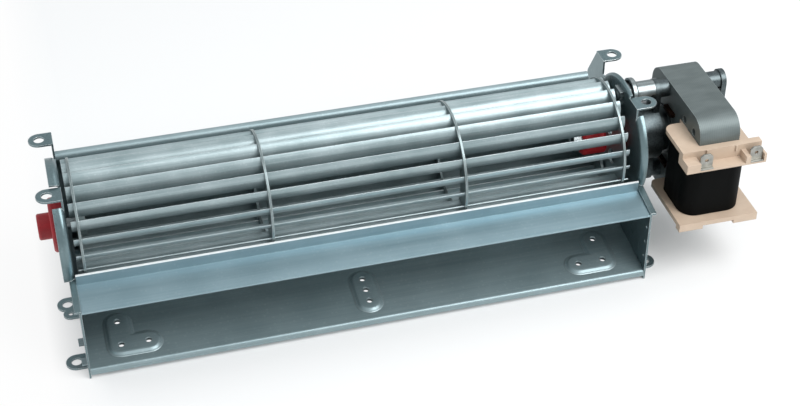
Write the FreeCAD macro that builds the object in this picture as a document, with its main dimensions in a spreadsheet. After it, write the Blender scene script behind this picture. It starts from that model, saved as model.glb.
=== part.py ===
import FreeCAD, Part
import math
import os
import re
import Sketcher

# Cross flow fan: sheet steel housing, bladed wheel, shaded pole motor.
# Frame: origin on the base plane, midway between the four foot holes.
# +X runs along the wheel axis to the motor, +Y to the back, +Z up. Millimetres.

doc = FreeCAD.newDocument("cross_flow_fan")
sheet = doc.addObject("Spreadsheet::Sheet", "Size")
sizes = {
    # Housing
    "span": 266.5,
    "steel": 0.8,
    "plate_steel": 0.9,
    "foot_pitch": 41.1,
    "front_reach": 32.35,
    "axis_back": 14.15,
    "axis_height": 54,
    "lip_height": 5,
    "lip_drop": 3.2,
    "lip_bend": 1.4,
    "floor_run": 27,
    "floor_rise": 3,
    "mouth_height": 33.8,
    "tongue_run": 16.5,
    "tongue_rise": 2.5,
    "tongue_wall": 5.6,
    "scroll_sump": 13,
    "scroll_back": 36.4,
    "scroll_end_angle": 31.5,
    "bead_radius": 2.4,
    "bead_short": 6.5,
    "bead_notch": 8.5,
    "tab_width": 4.2,
    "tab_one": 2.6,
    "tab_two": 14.6,
    "tab_reach": 2.4,
    "slot_gap": 0.15,
    # Raised bosses of the floor
    "boss_radius": 6.9,
    "boss_slope": 2.9,
    "boss_rise": 1.1,
    "boss_lap": 0.02,
    "boss_drill": 3,
    "boss_hole": 1.5,
    "boss_inset": 16.4,
    "boss_shift": -0.9,
    "boss_step": 12.5,
    "boss_front": 11.2,
    "boss_depth": 14.2,
    # End plates
    "rim_radius": 30.3,
    "left_bend": 2.5,
    "left_bend_top": 2.5,
    "left_reach": 5.2,
    "left_reach_top": 5,
    "right_bend": 2.5,
    "right_bend_top": 1.4,
    "right_reach": 3.6,
    "right_reach_top": 1.7,
    "rim_front_angle": 202,
    "ear_front_angle": 129.7,
    "ear_back_angle": 108.6,
    "rim_back_angle": 42,
    "sill_reach": 3,
    "ear_hole": 2.4,
    "ear_radius": 4.85,
    "foot_out": 5.4,
    "low_back": 62,
    "back_reach": 43.4,
    "back_arc": 60,
    "back_low": 6,
    "back_high": 10.8,
    "lug_out": 6.1,
    "lug_back": 29.2,
    "lug_height": 26.3,
    "brow_out": 6.6,
    "brow_front": 14.5,
    "brow_height": 26.5,
    "earth_out": 4.6,
    "earth_step": 7.2,
    "earth_radius": 3.4,
    "earth_hole": 1.1,
    "spot_hole": 0.7,
    "spot_pitch": 8.6,
    "spot_front": 2.6,
    "spot_low": 4,
    # Wheel: rings one and two are placed from the left plate, three and four from the right plate
    "blade_count": 22,
    "blade_root": 21.4,
    "blade_curve": 6.8,
    "blade_turn": 78,
    "blade_steel": 0.5,
    "blade_start": 1.7,
    "blade_end": 4.9,
    "blade_phase": 6.3,
    "ring_radius": 29.3,
    "ring_bore": 20.2,
    "ring_steel": 1.1,
    "ring_one": 4.7,
    "ring_two": 89.7,
    "ring_three": 85.5,
    "ring_four": 7.7,
    "ring_slot_gap": 0.05,
    "window_radius": 3.6,
    "window_circle": 14,
    "collar_wall": 1,
    "collar_length": 3.2,
    "bush_radius": 7.4,
    "bush_start": 19.5,
    "bush_round": 1.2,
    "bush_end": 1.9,
    "insert_radius": 4.8,
    "insert_start": 23.7,
    "shaft_inset": 0.4,
    "shaft_chamfer": 0.5,
    # Left bearing
    "stub_radius": 2.5,
    "stub_out": 9.4,
    "hub_radius": 6.5,
    "holder_radius": 12.6,
    "holder_out": 7,
    "holder_round": 1.4,
    "seat_gap": 0.05,
    "cap_radius": 6.1,
    "cap_out": 5.8,
    "cap_round": 1,
    "cap_wall": 1.6,
    "stub_room": 0.6,
    "neck_radius": 8.6,
    "sleeve_radius": 4.6,
    "sleeve_length": 6,
    "sleeve_inset": 0.5,
    "running_gap": 0.04,
    # Motor
    "motor_stand": 23.5,
    "stack": 20,
    "core_front": 40.9,
    "core_back": 17.5,
    "core_top": 28,
    "core_bottom": 32.5,
    "core_corner": 9,
    "leg_width": 14,
    "window_width": 8.9,
    "window_top": 17,
    "window_bottom": 23,
    "bore_radius": 12.5,
    "air_gap": 0.35,
    "stud_circle": 23.5,
    "stud_radius": 2,
    "stud_gap": 0.2,
    "core_rivet": 1.9,
    "rivet_front": 7.7,
    "rivet_back": 4.4,
    "rivet_drop": 8.4,
    "rivet_rise": 5,
    "shade_wire": 2,
    "shade_front": 12,
    "shade_span": 9,
    "shade_height": 13.8,
    "shade_gap": 0.1,
    "cage_over": 4,
    "cage_ring": 11,
    "cage_step": 0.5,
    "shaft_radius": 3,
    "shaft_out": 9,
    "bobbin_wall": 1.1,
    "bobbin_gap": 0.1,
    "flange_side": 9.9,
    "flange_front": 10.2,
    "flange_low": 2.3,
    "flange_high": 2.2,
    "tray_drop": 7.6,
    "tray_depth": 6.6,
    "tray_end": 6.8,
    "tray_back": 3.8,
    "block_drop": 2.9,
    "rib_width": 1,
    "rib_out": 0.8,
    "rib_first": 11.7,
    "rib_second": 26.4,
    "block_width": 2.4,
    "block_gap": 0.4,
    "arm_side": 4.6,
    "arm_back": 6,
    "arm_round": 4.6,
    "low_arm_back": 13.5,
    "low_arm_round": 3,
    "arm_gap": 0.3,
    "window_gap": 0.4,
    "toe_length": 12,
    "toe_width": 4,
    "toe_drop": 1.8,
    "coil_gap": 0.25,
    "coil_left": 5.3,
    "coil_right": 2.8,
    "coil_front": 3.9,
    "coil_back": 6.2,
    "coil_corner": 8,
    "coil_round": 4,
    "tab_blade": 6.3,
    "tab_thick": 0.8,
    "tab_height": 7.5,
    "tab_first": 10,
    "tab_second": 35,
    "tab_front": 7.9,
    "tab_taper": 1.4,
    "tab_eye": 0.9,
    "tab_eye_up": 4.2,
    "tab_foot": 1.6,
    "tab_seat": 0.02,
    "bar_steel": 2.5,
    "bar_width": 10.4,
    "left_leg": 5,
    "right_leg": 6.3,
    "leg_radius": 4.4,
    "cup_radius": 14,
    "cup_wall": 1.2,
    "cup_depth": 6.5,
    "hub_in": 1.8,
    "hub_out": 0.7,
    "seat_radius": 6.4,
    "retainer_radius": 6.8,
    "bearing_radius": 4.6,
    "bearing_length": 6.5,
    "spacer_radius": 5,
    "collar_radius": 7.4,
    "collar_at": 4.6,
    "collar_lip": 1.6,
    "collar_steel": 1,
    "head_radius": 3.6,
    "head_height": 2.2,
    "head_gap": 0.2,
    "nut_radius": 3.4,
    "nut_height": 2.2,
    "screw_end": 0.4,
}
for row, (name, value) in enumerate(sizes.items(), 1):
    sheet.set("A%d" % row, name)
    sheet.set("B%d" % row, str(value))
    sheet.setAlias("B%d" % row, name)
doc.recompute()


def q(text):
    """Point every alias in an expression at the sheet."""
    return re.sub(r"[a-z]\w*", lambda m: "Size." + m.group() if m.group() in sizes else m.group(), text)


def val(text):
    """Present value of a sheet expression, as a plain number."""
    found = sheet.evalExpression(q(text))
    return float(getattr(found, "Value", found))


def bind(item, prop, text):
    item.setExpression(prop, q(text))


def place(item, x, y, z, turn=None, turn_axis=(1, 0, 0)):
    """Bind a sub-part's place, and its turn about a fixed axis, to the sheet."""
    rotation = FreeCAD.Rotation(FreeCAD.Vector(*turn_axis), val(turn)) if turn else FreeCAD.Rotation()
    item.Placement = FreeCAD.Placement(FreeCAD.Vector(val(x), val(y), val(z)), rotation)
    bind(item, "Placement.Base.x", x)
    bind(item, "Placement.Base.y", y)
    bind(item, "Placement.Base.z", z)
    if turn:
        bind(item, "Placement.Rotation.Angle", turn)


def new_body(label, x, y, z, turn=None):
    body = doc.addObject("PartDesign::Body", label)
    body.Label = label
    place(body, x, y, z, turn)
    return body


def origin_item(body, role):
    return [item for item in body.Origin.OriginFeatures if item.Role == role][0]


def new_sketch(body, plane, lift="0", tilt=None):
    """Sketch on an origin plane of its own body, lifted along the plane's normal."""
    drawing = body.newObject("Sketcher::SketchObject", body.Label + "_sketch")
    drawing.AttachmentSupport = (origin_item(body, plane + "_Plane"), [""])
    drawing.MapMode = "FlatFace"
    if tilt:
        turned = FreeCAD.Rotation(FreeCAD.Vector(1, 0, 0), val(tilt))
        drawing.AttachmentOffset = FreeCAD.Placement(FreeCAD.Vector(0, 0, 0), turned)
        bind(drawing, "AttachmentOffset.Rotation.Angle", tilt)
    bind(drawing, "AttachmentOffset.Base.z", lift)
    return drawing


def fix(drawing, geo, end, across, up):
    """Hold one point of a sketch by its two distances from the sketch origin."""
    for kind, text in (("DistanceX", across), ("DistanceY", up)):
        index = drawing.addConstraint(Sketcher.Constraint(kind, -1, 1, geo, end, val(text)))
        drawing.setExpression("Constraints[%d]" % index, q(text))


def outline(drawing, corners):
    """Closed outline. A corner is (across, up), or (across, up, radius, turn) where an arc
    leaves it: turn 1 runs anticlockwise, turn -1 clockwise."""
    spots = [FreeCAD.Vector(val(c[0]), val(c[1]), 0) for c in corners]
    ends = []
    for index, corner in enumerate(corners):
        begin = spots[index]
        finish = spots[(index + 1) % len(spots)]
        if len(corner) == 2:
            geo = drawing.addGeometry(Part.LineSegment(begin, finish), False)
            ends.append((geo, 1, 2))
            continue
        radius = val(corner[2])
        chord = finish - begin
        half = chord.Length / 2
        height = math.sqrt(max(radius * radius - half * half, 0))
        side = FreeCAD.Vector(-chord.y, chord.x, 0).normalize() * (corner[3] * height)
        centre = (begin + finish) * 0.5 + side
        circle = Part.Circle(centre, FreeCAD.Vector(0, 0, 1), radius)
        first, last = (begin, finish) if corner[3] > 0 else (finish, begin)
        start = math.atan2(first.y - centre.y, first.x - centre.x)
        stop = math.atan2(last.y - centre.y, last.x - centre.x)
        geo = drawing.addGeometry(Part.ArcOfCircle(circle, start, stop), False)
        ends.append((geo, 1, 2) if corner[3] > 0 else (geo, 2, 1))
    for index, (geo, begin, finish) in enumerate(ends):
        after = ends[(index + 1) % len(ends)]
        drawing.addConstraint(Sketcher.Constraint("Coincident", geo, finish, after[0], after[1]))
        fix(drawing, geo, begin, corners[index][0], corners[index][1])
        if len(corners[index]) == 4:
            held = drawing.addConstraint(Sketcher.Constraint("Radius", geo, val(corners[index][2])))
            drawing.setExpression("Constraints[%d]" % held, q(corners[index][2]))


def ring(drawing, across, up, radius):
    """Circle held by its centre and radius."""
    middle = FreeCAD.Vector(val(across), val(up), 0)
    geo = drawing.addGeometry(Part.Circle(middle, FreeCAD.Vector(0, 0, 1), val(radius)), False)
    held = drawing.addConstraint(Sketcher.Constraint("Radius", geo, val(radius)))
    drawing.setExpression("Constraints[%d]" % held, q(radius))
    fix(drawing, geo, 3, across, up)


def box_outline(drawing, left, low, right, high):
    outline(drawing, [(left, low), (right, low), (right, high), (left, high)])


def pad(body, drawing, length, reverse=False):
    feature = body.newObject("PartDesign::Pad", body.Label + "_pad")
    feature.Profile = drawing
    feature.Reversed = reverse
    bind(feature, "Length", length)
    doc.recompute()
    return feature


def pocket(body, drawing, length, reverse=False):
    """Cut along the sketch normal unless reversed; the volume has to fall."""
    before = body.Shape.Volume
    feature = body.newObject("PartDesign::Pocket", body.Label + "_pocket")
    feature.Profile = drawing
    feature.Reversed = not reverse
    bind(feature, "Length", length)
    doc.recompute()
    if body.Shape.Volume > before - 1e-6:
        raise RuntimeError("pocket cuts nothing in " + body.Label)
    return feature


def revolve(body, drawing, angle="360", middle=False):
    feature = body.newObject("PartDesign::Revolution", body.Label + "_turn")
    feature.Profile = drawing
    feature.ReferenceAxis = (drawing, ["H_Axis"])
    feature.Midplane = middle
    bind(feature, "Angle", angle)
    doc.recompute()
    return feature


def polar(body, feature, count):
    """Repeat a feature about the wheel axis."""
    pattern = body.newObject("PartDesign::PolarPattern", body.Label + "_pattern")
    pattern.Originals = [feature]
    pattern.Axis = (origin_item(body, "X_Axis"), [""])
    pattern.Angle = 360
    bind(pattern, "Occurrences", count)
    body.Tip = pattern
    doc.recompute()
    return pattern


def turned(label, x, corners):
    """Round piece about the wheel axis, from its half section in (along, radius)."""
    body = new_body(label, x, "axis_back", "axis_height")
    drawing = new_sketch(body, "XZ")
    outline(drawing, corners)
    revolve(body, drawing)
    return body


# Scroll sheet: mouth lip, floor with raised bosses, spiral back wall and rolled bead.
# It is one folded sheet with a spiral section, so it is made from its centre section wire.
front = -val("front_reach")
steel = val("steel")
axis = FreeCAD.Vector(0, val("axis_back"), val("axis_height"))
half_span = val("span / 2")


def at_angle(radius, degrees):
    bearing = math.radians(degrees)
    return axis + FreeCAD.Vector(0, radius * math.cos(bearing), radius * math.sin(bearing))


def spiral(degrees):
    """Inner radius of the scroll, growing evenly from the bead to the floor."""
    low = val("axis_height - scroll_sump")
    return val("scroll_back") - (low - val("scroll_back")) * degrees / 90


floor_start = FreeCAD.Vector(0, front + val("lip_bend"), val("lip_height"))
floor_end = FreeCAD.Vector(0, front + val("floor_run"), val("lip_height") + val("floor_rise"))
floor_dir = (floor_end - floor_start).normalize()
floor_angle = math.degrees(math.atan2(floor_dir.z, floor_dir.y))
end_angle = val("scroll_end_angle")
wall_angles = (-90, -60, -30, 0, end_angle)
wall_points = [floor_end] + [at_angle(spiral(a), a) for a in wall_angles]
floor_under = floor_start + FreeCAD.Vector(0, 0, -steel)
inner = Part.BSplineCurve()
inner.interpolate(Points=wall_points, InitialTangent=floor_dir,
                  FinalTangent=FreeCAD.Vector(0, -math.sin(math.radians(end_angle)),
                                              math.cos(math.radians(end_angle))))
outer_points = [floor_end + FreeCAD.Vector(0, floor_dir.z, -floor_dir.y) * steel]
outer_points += [at_angle(spiral(a) + steel, a) for a in wall_angles]
outer = Part.BSplineCurve()
outer.interpolate(Points=outer_points, InitialTangent=floor_dir,
                  FinalTangent=FreeCAD.Vector(0, -math.sin(math.radians(end_angle)),
                                              math.cos(math.radians(end_angle))))
lip_bottom = val("lip_height") - val("lip_drop")
bend = val("lip_bend")
bend_low = FreeCAD.Vector(0, front, val("lip_height") - bend)
bend_mid = FreeCAD.Vector(0, front + bend * (1 - math.sqrt(0.5)),
                          val("lip_height") - bend * (1 - math.sqrt(0.5)))
small = bend - steel
under_low = FreeCAD.Vector(0, front + steel, val("lip_height") - bend)
under_mid = FreeCAD.Vector(0, front + bend - small * math.sqrt(0.5),
                           val("lip_height") - bend + small * math.sqrt(0.5))
section = Part.Wire([
    Part.LineSegment(FreeCAD.Vector(0, front, lip_bottom), bend_low).toShape(),
    Part.Arc(bend_low, bend_mid, floor_start).toShape(),
    Part.LineSegment(floor_start, floor_end).toShape(),
    inner.toShape(),
    Part.LineSegment(wall_points[-1], outer_points[-1]).toShape(),
    outer.toShape().reversed(),
    Part.LineSegment(outer_points[0], floor_under).toShape(),
    Part.Arc(floor_under, under_mid, under_low).toShape(),
    Part.LineSegment(under_low, FreeCAD.Vector(0, front + steel, lip_bottom)).toShape(),
    Part.LineSegment(FreeCAD.Vector(0, front + steel, lip_bottom),
                     FreeCAD.Vector(0, front, lip_bottom)).toShape(),
])
length = val("span")
left = FreeCAD.Vector(-half_span, 0, 0)
scroll = Part.Face(section).extrude(FreeCAD.Vector(length, 0, 0)).translated(left)
bead_at = at_angle(spiral(end_angle) + steel - val("bead_radius"), end_angle)
bead = Part.makeCylinder(val("bead_radius"), length, bead_at + left, FreeCAD.Vector(1, 0, 0))
bead_hollow = Part.makeCylinder(val("bead_radius") - steel, length, bead_at + left,
                                FreeCAD.Vector(1, 0, 0))
scroll = scroll.fuse(bead).cut(bead_hollow)
# The bead stops short of the right plate, where the sheet is notched.
notch = Part.makeBox(val("bead_short"), val("low_back"), val("axis_height"))
notch.translate(FreeCAD.Vector(half_span - val("bead_short"), axis.y, axis.z + val("bead_notch")))
scroll = scroll.cut(notch)


def stadium(first, second, radius, height):
    """Flat wire of two half circles and two straight sides round a pair of points."""
    along = second - first
    along = along.normalize() if along.Length > 0 else FreeCAD.Vector(1, 0, 0)
    side = FreeCAD.Vector(-along.y, along.x, 0) * radius
    lift = FreeCAD.Vector(0, 0, height)
    a, b, c, d = first + side, first - side, second - side, second + side
    return Part.Wire([
        Part.Arc(a + lift, first - along * radius + lift, b + lift).toShape(),
        Part.LineSegment(b + lift, c + lift).toShape(),
        Part.Arc(c + lift, second + along * radius + lift, d + lift).toShape(),
        Part.LineSegment(d + lift, a + lift).toShape(),
    ])


# How far in and how far up each section of a boss lies, as parts of its slope and its rise.
boss_curve = ((0, 0), (0.35, 0.15), (0.7, 0.85), (1, 1))


def boss(first, second, offset):
    """Sloped solid of one straight boss on the floor's own plane, soft at its foot and at its brow."""
    sections = []
    for inward, upward in boss_curve:
        radius = val("boss_radius") - inward * val("boss_slope")
        sections.append(stadium(first, second, radius, offset + upward * val("boss_rise")))
    return Part.makeLoft(sections, True, True)


floor_place = FreeCAD.Placement(FreeCAD.Vector(0, front, val("lip_height")),
                                FreeCAD.Rotation(FreeCAD.Vector(1, 0, 0), floor_angle))
near_x = half_span - val("boss_inset")
near_y = val("boss_front")
far_y = near_y + val("boss_depth")
middle_x = val("boss_shift")
corner_holes = []
for side in (-1, 1):
    outer_x = middle_x + side * near_x
    inner_x = outer_x - side * val("boss_step")
    corner_holes.append((FreeCAD.Vector(outer_x, near_y, 0), FreeCAD.Vector(outer_x, far_y, 0)))
    corner_holes.append((FreeCAD.Vector(outer_x, near_y, 0), FreeCAD.Vector(inner_x, near_y, 0)))
corner_holes.append((FreeCAD.Vector(middle_x, near_y, 0), FreeCAD.Vector(middle_x, far_y, 0)))
for first, second in corner_holes:
    raised = boss(first, second, -val("boss_lap"))
    raised.Placement = floor_place
    scroll = scroll.fuse(raised)
for first, second in corner_holes:
    sunk = boss(first, second, -steel - val("boss_lap"))
    sunk.Placement = floor_place
    scroll = scroll.cut(sunk)
hole_spots = [first for first, second in corner_holes] + [second for first, second in corner_holes]
hole_spots.append(FreeCAD.Vector(middle_x, (near_y + far_y) / 2, 0))
for spot in hole_spots:
    drill = Part.makeCylinder(val("boss_hole"), 2 * val("boss_drill"),
                              spot - FreeCAD.Vector(0, 0, val("boss_drill")))
    drill.Placement = floor_place
    scroll = scroll.cut(drill)

# Locking tabs that pass through the end plates: two on the floor, one on the back wall.
tab_spots = [floor_start + floor_dir * val("tab_one"), floor_start + floor_dir * val("tab_two")]
tab_run = val("plate_steel") + val("tab_reach")
for side in (-1, 1):
    for spot in tab_spots:
        tab = Part.makeBox(tab_run, val("tab_width"), steel)
        tab.Placement = FreeCAD.Placement(
            FreeCAD.Vector(half_span if side > 0 else -half_span - tab_run, spot.y, spot.z),
            FreeCAD.Rotation(FreeCAD.Vector(1, 0, 0), floor_angle)).multiply(
            FreeCAD.Placement(FreeCAD.Vector(0, 0, -steel), FreeCAD.Rotation()))
        scroll = scroll.fuse(tab)
    wall = Part.makeBox(tab_run, steel, val("tab_width"))
    wall.Placement = FreeCAD.Placement(
        FreeCAD.Vector(half_span if side > 0 else -half_span - tab_run,
                       axis.y + spiral(0), axis.z - val("tab_width") / 2), FreeCAD.Rotation())
    scroll = scroll.fuse(wall)
scroll = scroll.removeSplitter()
scroll_sheet = doc.addObject("Part::Feature", "scroll_sheet")
scroll_sheet.Shape = scroll
scroll_sheet.Placement = FreeCAD.Placement()

# Tongue: folded strip across the mouth, with an upright wall close to the wheel.
tongue = new_body("tongue_sheet", "-span / 2", "-front_reach", "lip_height + mouth_height")
drawing = new_sketch(tongue, "YZ")
outline(drawing, [
    ("0", "0"),
    ("0", "-steel"),
    ("tongue_run + steel", "tongue_rise - steel"),
    ("tongue_run + steel", "tongue_rise + tongue_wall"),
    ("tongue_run", "tongue_rise + tongue_wall"),
    ("tongue_run", "tongue_rise"),
])
pad(tongue, drawing, "span")
for start, away in (("0", True), ("span", False)):
    drawing = new_sketch(tongue, "YZ", start)
    outline(drawing, [
        ("tongue_run / 2", "tongue_rise / 2 - steel"),
        ("tongue_run / 2 + tab_width", "tongue_rise / 2 - steel + tongue_rise * tab_width / tongue_run"),
        ("tongue_run / 2 + tab_width", "tongue_rise / 2 + tongue_rise * tab_width / tongue_run"),
        ("tongue_run / 2", "tongue_rise / 2"),
    ])
    pad(tongue, drawing, "plate_steel + tab_reach / 2", away)


def ear(body, side, out, at, level, radius, hole):
    """Horizontal round-ended ear on a plate, bent outward, with a screw hole."""
    drawing = new_sketch(body, "XY", level)
    s = "" if side > 0 else "-"
    turn = side
    outline(drawing, [
        ("0", at + " - (" + radius + ")"),
        (s + "(" + out + ")", at + " - (" + radius + ")", radius, turn),
        (s + "(" + out + " + " + radius + ")", at, radius, turn),
        (s + "(" + out + ")", at + " + " + radius),
        ("0", at + " + " + radius),
    ])
    ring(drawing, s + "(" + out + ")", at, hole)
    pad(body, drawing, "plate_steel")


def end_plate(label, side):
    """Sheet end plate: inner face at the body origin, on the wheel axis, flanges outward."""
    s = "" if side > 0 else "-"
    body = new_body(label, s + "span / 2", "axis_back", "axis_height")
    hand = "right" if side > 0 else "left"
    rim = "(rim_radius - " + hand + "_bend)"
    rim_top = "(rim_radius - " + hand + "_bend_top)"
    brow_start = "(-brow_front - ear_radius)"
    brow_end = "(-brow_front + ear_radius)"
    front_edge = "(-front_reach - axis_back)"
    drawing = new_sketch(body, "YZ")
    outline(drawing, [
        (front_edge, "-axis_height"),
        ("low_back - front_reach - axis_back", "-axis_height", "back_arc", 1),
        ("back_reach", "-back_low"),
        ("back_reach", "back_high"),
        ("lug_back + ear_radius", "lug_height"),
        ("lug_back - ear_radius", "lug_height"),
        ("lug_back - ear_radius", rim_top + " * sin(rim_back_angle)"),
        (rim_top + " * cos(rim_back_angle)", rim_top + " * sin(rim_back_angle)", rim_top, 1),
        (brow_end, "sqrt(" + rim_top + "^2 - " + brow_end + "^2)"),
        (brow_end, "brow_height"),
        (brow_start, "brow_height"),
        (brow_start, "sqrt(" + rim + "^2 - " + brow_start + "^2)", rim, 1),
        (rim + " * cos(rim_front_angle)", rim + " * sin(rim_front_angle)"),
        (front_edge, "lip_height + mouth_height + plate_steel - axis_height"),
    ])
    pad(body, drawing, "plate_steel", side < 0)
    # Curled flanges along the rim, wide at the front and narrow over the top.
    for start, stop, kind in (("ear_front_angle", "rim_front_angle", ""),
                              ("rim_back_angle", "ear_back_angle", "_top")):
        bend = hand + "_bend" + kind
        reach = hand + "_reach" + kind
        drawing = new_sketch(body, "XZ", "0", "(" + start + " + " + stop + ") / 2 - 90")
        outline(drawing, [
            ("0", "rim_radius - " + bend, bend, -side),
            (s + bend, "rim_radius"),
            (s + reach, "rim_radius"),
            (s + reach, "rim_radius - plate_steel"),
            (s + bend, "rim_radius - plate_steel", bend + " - plate_steel", side),
            (s + "plate_steel", "rim_radius - " + bend),
        ])
        revolve(body, drawing, stop + " - " + start, True)
    # Straight flange over the tongue.
    drawing = new_sketch(body, "YZ")
    low = "lip_height + mouth_height + plate_steel - axis_height"
    outline(drawing, [
        (front_edge, low + " - plate_steel"),
        (rim + " * cos(rim_front_angle)", rim + " * sin(rim_front_angle) - plate_steel"),
        (rim + " * cos(rim_front_angle)", rim + " * sin(rim_front_angle)"),
        (front_edge, low),
    ])
    pad(body, drawing, "sill_reach", side < 0)
    ear(body, side, "lug_out", "lug_back", "lug_height", "ear_radius", "ear_hole")
    ear(body, side, "brow_out", "-brow_front", "brow_height", "ear_radius", "ear_hole")
    for foot in ("-foot_pitch / 2", "foot_pitch / 2"):
        ear(body, side, "foot_out", foot + " - axis_back", "-axis_height", "ear_radius", "ear_hole")
    ear(body, side, "earth_out", "foot_pitch / 2 - earth_step - axis_back", "-axis_height",
        "earth_radius", "earth_hole")
    # Slots for the locking tabs of the scroll sheet and the tongue.
    drawing = new_sketch(body, "YZ")
    slant = "atan((floor_rise) / (floor_run - lip_bend))"
    for along in ("tab_one", "tab_two"):
        y0 = "lip_bend - front_reach - axis_back + " + along + " * cos(" + slant + ")"
        z0 = "lip_height - axis_height + " + along + " * sin(" + slant + ")"
        outline(drawing, [
            (y0 + " - slot_gap", z0 + " - steel - slot_gap"),
            (y0 + " + tab_width + slot_gap", z0 + " - steel - slot_gap + tab_width * sin(" + slant + ")"),
            (y0 + " + tab_width + slot_gap", z0 + " + slot_gap + tab_width * sin(" + slant + ")"),
            (y0 + " - slot_gap", z0 + " + slot_gap"),
        ])
    box_outline(drawing, "scroll_back - slot_gap", "-tab_width / 2 - slot_gap",
                "scroll_back + steel + slot_gap", "tab_width / 2 + slot_gap")
    y0 = "tongue_run / 2 - front_reach - axis_back"
    z0 = "lip_height + mouth_height + tongue_rise / 2 - axis_height"
    outline(drawing, [
        (y0 + " - slot_gap", z0 + " - steel - slot_gap"),
        (y0 + " + tab_width + slot_gap", z0 + " - steel - slot_gap + tongue_rise * tab_width / tongue_run"),
        (y0 + " + tab_width + slot_gap", z0 + " + slot_gap + tongue_rise * tab_width / tongue_run"),
        (y0 + " - slot_gap", z0 + " + slot_gap"),
    ])
    for count in ("1", "2", "3"):
        ring(drawing, front_edge + " + spot_front",
             "-axis_height + spot_low + " + count + " * spot_pitch", "spot_hole")
    if side < 0:
        ring(drawing, "0", "0", "neck_radius + slot_gap")
    else:
        ring(drawing, "0", "0", "seat_radius")
        ring(drawing, "0", "stud_circle", "stud_radius + stud_gap")
        ring(drawing, "0", "-stud_circle", "stud_radius + stud_gap")
    pocket(body, drawing, "plate_steel", side < 0)
    return body


left_end_plate = end_plate("left_end_plate", -1)
right_end_plate = end_plate("right_end_plate", 1)

# Left bearing: red moulded holder seated in the plate, with a bronze sleeve.
turned("bearing_holder", "-span / 2", [
    ("0", "sleeve_radius + seat_gap"),
    ("0", "neck_radius"),
    ("-plate_steel - seat_gap", "neck_radius"),
    ("-plate_steel - seat_gap", "holder_radius"),
    ("-holder_out + holder_round", "holder_radius", "holder_round", 1),
    ("-holder_out", "holder_radius - holder_round"),
    ("-holder_out", "cap_radius"),
    ("-holder_out - cap_out + cap_round", "cap_radius", "cap_round", 1),
    ("-holder_out - cap_out", "cap_radius - cap_round"),
    ("-holder_out - cap_out", "0"),
    ("-holder_out - cap_out + cap_wall", "0"),
    ("-holder_out - cap_out + cap_wall", "stub_radius + stub_room"),
    ("-sleeve_inset - sleeve_length - seat_gap", "stub_radius + stub_room"),
    ("-sleeve_inset - sleeve_length - seat_gap", "sleeve_radius + seat_gap"),
])
turned("bearing_sleeve", "-span / 2", [
    ("-sleeve_inset", "stub_radius + running_gap"),
    ("-sleeve_inset", "sleeve_radius"),
    ("-sleeve_inset - sleeve_length", "sleeve_radius"),
    ("-sleeve_inset - sleeve_length", "stub_radius + running_gap"),
])


def blade_outline(drawing, gap="0"):
    """Section of one blade, or of the slot it sits in, set off by a gap."""
    low = "(blade_curve - blade_steel / 2 - " + gap + ")"
    high = "(blade_curve + blade_steel / 2 + " + gap + ")"
    outline(drawing, [
        ("blade_root - " + gap, "blade_steel / 2 + " + gap, high, -1),
        ("blade_root - " + gap + " + " + high + " * sin(blade_turn) + 2 * " + gap,
         "-blade_curve + " + high + " * cos(blade_turn) - 2 * " + gap),
        ("blade_root - " + gap + " + " + low + " * sin(blade_turn) + 2 * " + gap,
         "-blade_curve + " + low + " * cos(blade_turn) - 2 * " + gap, low, 1),
        ("blade_root - " + gap, "-blade_steel / 2 - " + gap),
    ])


def wheel_ring(label, at, bore):
    """Slotted ring of the wheel; the blades pass through it."""
    body = new_body(label, "-span / 2", "axis_back", "axis_height", "blade_phase")
    drawing = new_sketch(body, "YZ", at + " - ring_steel / 2")
    ring(drawing, "0", "0", "ring_radius")
    ring(drawing, "0", "0", bore)
    pad(body, drawing, "ring_steel")
    drawing = new_sketch(body, "YZ", at + " - ring_steel / 2")
    blade_outline(drawing, "ring_slot_gap")
    slot = pocket(body, drawing, "ring_steel")
    return body, slot


left_disc, slot = wheel_ring("left_end_disc", "ring_one", "stub_radius")
polar(left_disc, slot, "blade_count")
drawing = new_sketch(left_disc, "YZ", "ring_one + ring_steel / 2")
ring(drawing, "0", "0", "hub_radius")
ring(drawing, "0", "0", "stub_radius")
pad(left_disc, drawing, "collar_length")
turned("stub_shaft", "-span / 2", [
    ("ring_one + ring_steel / 2 + collar_length", "0"),
    ("ring_one + ring_steel / 2 + collar_length", "stub_radius"),
    ("-stub_out + shaft_chamfer", "stub_radius"),
    ("-stub_out", "stub_radius - shaft_chamfer"),
    ("-stub_out", "0"),
])
for label, at in (("middle_ring_left", "ring_two"), ("middle_ring_right", "span - ring_three")):
    middle_ring, slot = wheel_ring(label, at, "ring_bore")
    polar(middle_ring, slot, "blade_count")
right_disc, slot = wheel_ring("right_end_disc", "span - ring_four", "bush_radius")
polar(right_disc, slot, "blade_count")
drawing = new_sketch(right_disc, "YZ", "span - ring_four - ring_steel / 2")
ring(drawing, "window_circle", "0", "window_radius")
window = pocket(right_disc, drawing, "ring_steel")
polar(right_disc, window, "6")
drawing = new_sketch(right_disc, "YZ", "span - ring_four + ring_steel / 2")
ring(drawing, "0", "0", "bush_radius + collar_wall")
ring(drawing, "0", "0", "bush_radius")
pad(right_disc, drawing, "collar_length")

# Blades: one curved strip each, round the wheel axis.
for number in range(int(val("blade_count"))):
    blade = new_body("blade_%02d" % (number + 1), "-span / 2", "axis_back", "axis_height",
                     "blade_phase + %d * 360 / blade_count" % number)
    drawing = new_sketch(blade, "YZ", "blade_start")
    blade_outline(drawing)
    pad(blade, drawing, "span - blade_end - blade_start")

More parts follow.
